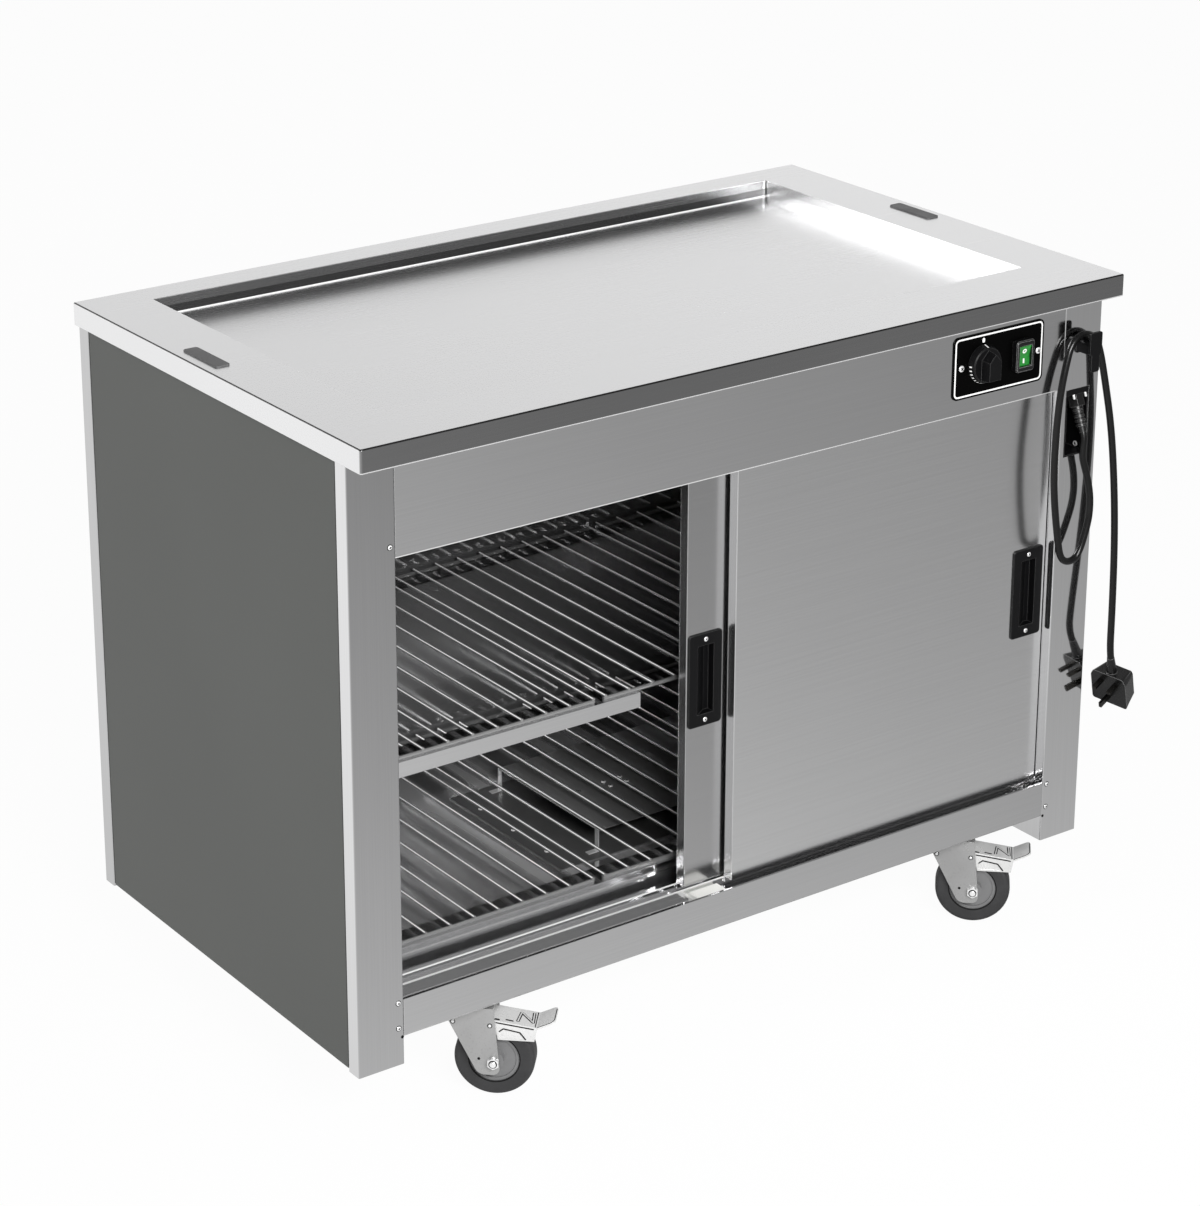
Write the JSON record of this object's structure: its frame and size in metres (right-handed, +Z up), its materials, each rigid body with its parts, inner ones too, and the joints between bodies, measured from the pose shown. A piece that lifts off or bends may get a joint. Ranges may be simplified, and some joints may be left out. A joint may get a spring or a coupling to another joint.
{
  "type": "mobile heated servery unit",
  "caption": "Mobile servery counter with a shallow worktop well over a heated cupboard with sliding doors, on swivel castors.",
  "frame": {"origin": "on the floor under the middle of the worktop", "axes": "+X to the operator's right, +Y from the doors to the back, +Z up"},
  "size_m": [1.2095, 0.6987, 0.902],
  "materials": {
    "stainless_top": "satin brushed stainless sheet",
    "stainless_body": "bright polished stainless sheet",
    "stainless_door": "brushed stainless sheet",
    "stainless_inner": "mill finish stainless sheet",
    "laminate": "dark grey-green decorative laminate",
    "bright_wire": "bright plated wire",
    "heater_steel": "mill finish steel",
    "control_face": "black printed plate",
    "black_plastic": "moulded black plastic",
    "green_lens": "green translucent plastic",
    "white_nylon": "natural nylon",
    "black_rubber": "black rubber",
    "plug_brass": "darkened brass",
    "zinc_plate": "bright zinc-plated pressed steel",
    "hub_grey": "grey moulded nylon",
    "tyre_rubber": "dark rubber"
  },
  "bodies": {
    "cabinet": {"worktop": "stainless_top", "well_pan": "stainless_top", "front_post_left": "stainless_body", "front_post_right": "stainless_body", "rear_post_left": "stainless_body", "rear_post_right": "stainless_body", "fascia": "stainless_body", "bottom_rail": "stainless_body", "base_pan": "stainless_inner", "cupboard_liner": "stainless_inner", "cupboard_ceiling": "stainless_inner", "floor_pan": "stainless_inner", "door_top_track": "stainless_inner", "door_sill_track": "stainless_inner", "upper_bearers": "stainless_inner", "lower_bearers": "stainless_inner", "side_panel_left": "laminate", "side_panel_right": "laminate", "rear_panel": "laminate", "upper_grids": "bright_wire", "lower_grids": "bright_wire", "heater_base": "heater_steel", "heater_cover": "heater_steel", "heater_element": "heater_steel", "control_plate": "control_face", "switch_housing": "black_plastic", "cord_hook": "black_plastic", "cord_entry_box": "black_plastic", "thermostat": "black_plastic", "gantry_socket_caps": "black_plastic", "door_centre_guide": "white_nylon", "mains_lead": "black_rubber", "cord_gland": "black_rubber", "mains_plug": "black_rubber", "plug_pins": "plug_brass", "castor_plates": "zinc_plate"},
    "left_door": {"left_door_skin": "stainless_door", "left_door_back": "stainless_door", "left_door_pull": "black_plastic", "left_door_hangers": "white_nylon"},
    "right_door": {"right_door_skin": "stainless_door", "right_door_back": "stainless_door", "right_door_pull": "black_plastic", "right_door_hangers": "white_nylon"},
    "knob": {"thermostat_knob": "black_plastic"},
    "rocker": {"switch_rocker": "green_lens"},
    "fork_front_left": {"castor_fork_front_left": "zinc_plate"},
    "wheel_front_left": {"castor_hub_front_left": "hub_grey", "castor_tyre_front_left": "tyre_rubber"},
    "fork_front_right": {"castor_fork_front_right": "zinc_plate"},
    "wheel_front_right": {"castor_hub_front_right": "hub_grey", "castor_tyre_front_right": "tyre_rubber"},
    "fork_rear_left": {"castor_fork_rear_left": "zinc_plate"},
    "wheel_rear_left": {"castor_hub_rear_left": "hub_grey", "castor_tyre_rear_left": "tyre_rubber"},
    "fork_rear_right": {"castor_fork_rear_right": "zinc_plate"},
    "wheel_rear_right": {"castor_hub_rear_right": "hub_grey", "castor_tyre_rear_right": "tyre_rubber"},
    "pedal_front_left": {"castor_pedal_front_left": "zinc_plate"},
    "pedal_front_right": {"castor_pedal_front_right": "zinc_plate"}
  },
  "joints": [
    {"name": "left_door_slide", "type": "slide", "parent": "cabinet", "child": "left_door", "axis": [1, 0, 0], "range_m": [-0.442, 0]},
    {"name": "right_door_slide", "type": "slide", "parent": "cabinet", "child": "right_door", "axis": [1, 0, 0], "range_m": [-0.502, 0]},
    {"name": "thermostat_turn", "type": "hinge", "parent": "cabinet", "child": "knob", "pos_m": [0.3705, -0.31, 0.8095], "axis": [0, 1, 0], "range_deg": [0, 300]},
    {"name": "switch_rock", "type": "hinge", "parent": "cabinet", "child": "rocker", "pos_m": [0.435, -0.3055, 0.8095], "axis": [1, 0, 0], "range_deg": [-12, 0]},
    {"name": "swivel_front_left", "type": "hinge", "parent": "cabinet", "child": "fork_front_left", "pos_m": [-0.39, -0.24, 0.125], "axis": [0, 0, 1], "continuous": true},
    {"name": "roll_front_left", "type": "hinge", "parent": "fork_front_left", "child": "wheel_front_left", "pos_m": [-0.35805, -0.26877, 0.05], "axis": [0.6691, 0.7431, 0], "continuous": true},
    {"name": "swivel_front_right", "type": "hinge", "parent": "cabinet", "child": "fork_front_right", "pos_m": [0.39, -0.24, 0.125], "axis": [0, 0, 1], "continuous": true},
    {"name": "roll_front_right", "type": "hinge", "parent": "fork_front_right", "child": "wheel_front_right", "pos_m": [0.42196, -0.26877, 0.05], "axis": [0.6691, 0.7431, 0], "continuous": true},
    {"name": "swivel_rear_left", "type": "hinge", "parent": "cabinet", "child": "fork_rear_left", "pos_m": [-0.39, 0.266, 0.125], "axis": [0, 0, 1], "continuous": true},
    {"name": "roll_rear_left", "type": "hinge", "parent": "fork_rear_left", "child": "wheel_rear_left", "pos_m": [-0.35805, 0.23723, 0.05], "axis": [0.6691, 0.7431, 0], "continuous": true},
    {"name": "swivel_rear_right", "type": "hinge", "parent": "cabinet", "child": "fork_rear_right", "pos_m": [0.39, 0.266, 0.125], "axis": [0, 0, 1], "continuous": true},
    {"name": "roll_rear_right", "type": "hinge", "parent": "fork_rear_right", "child": "wheel_rear_right", "pos_m": [0.42196, 0.23723, 0.05], "axis": [0.6691, 0.7431, 0], "continuous": true},
    {"name": "brake_front_left", "type": "hinge", "parent": "fork_front_left", "child": "pedal_front_left", "pos_m": [-0.36102, -0.2661, 0.1], "axis": [0.6691, 0.7431, 0], "range_deg": [0, 8]},
    {"name": "brake_front_right", "type": "hinge", "parent": "fork_front_right", "child": "pedal_front_right", "pos_m": [0.41898, -0.2661, 0.1], "axis": [0.6691, 0.7431, 0], "range_deg": [0, 8]}
  ]
}
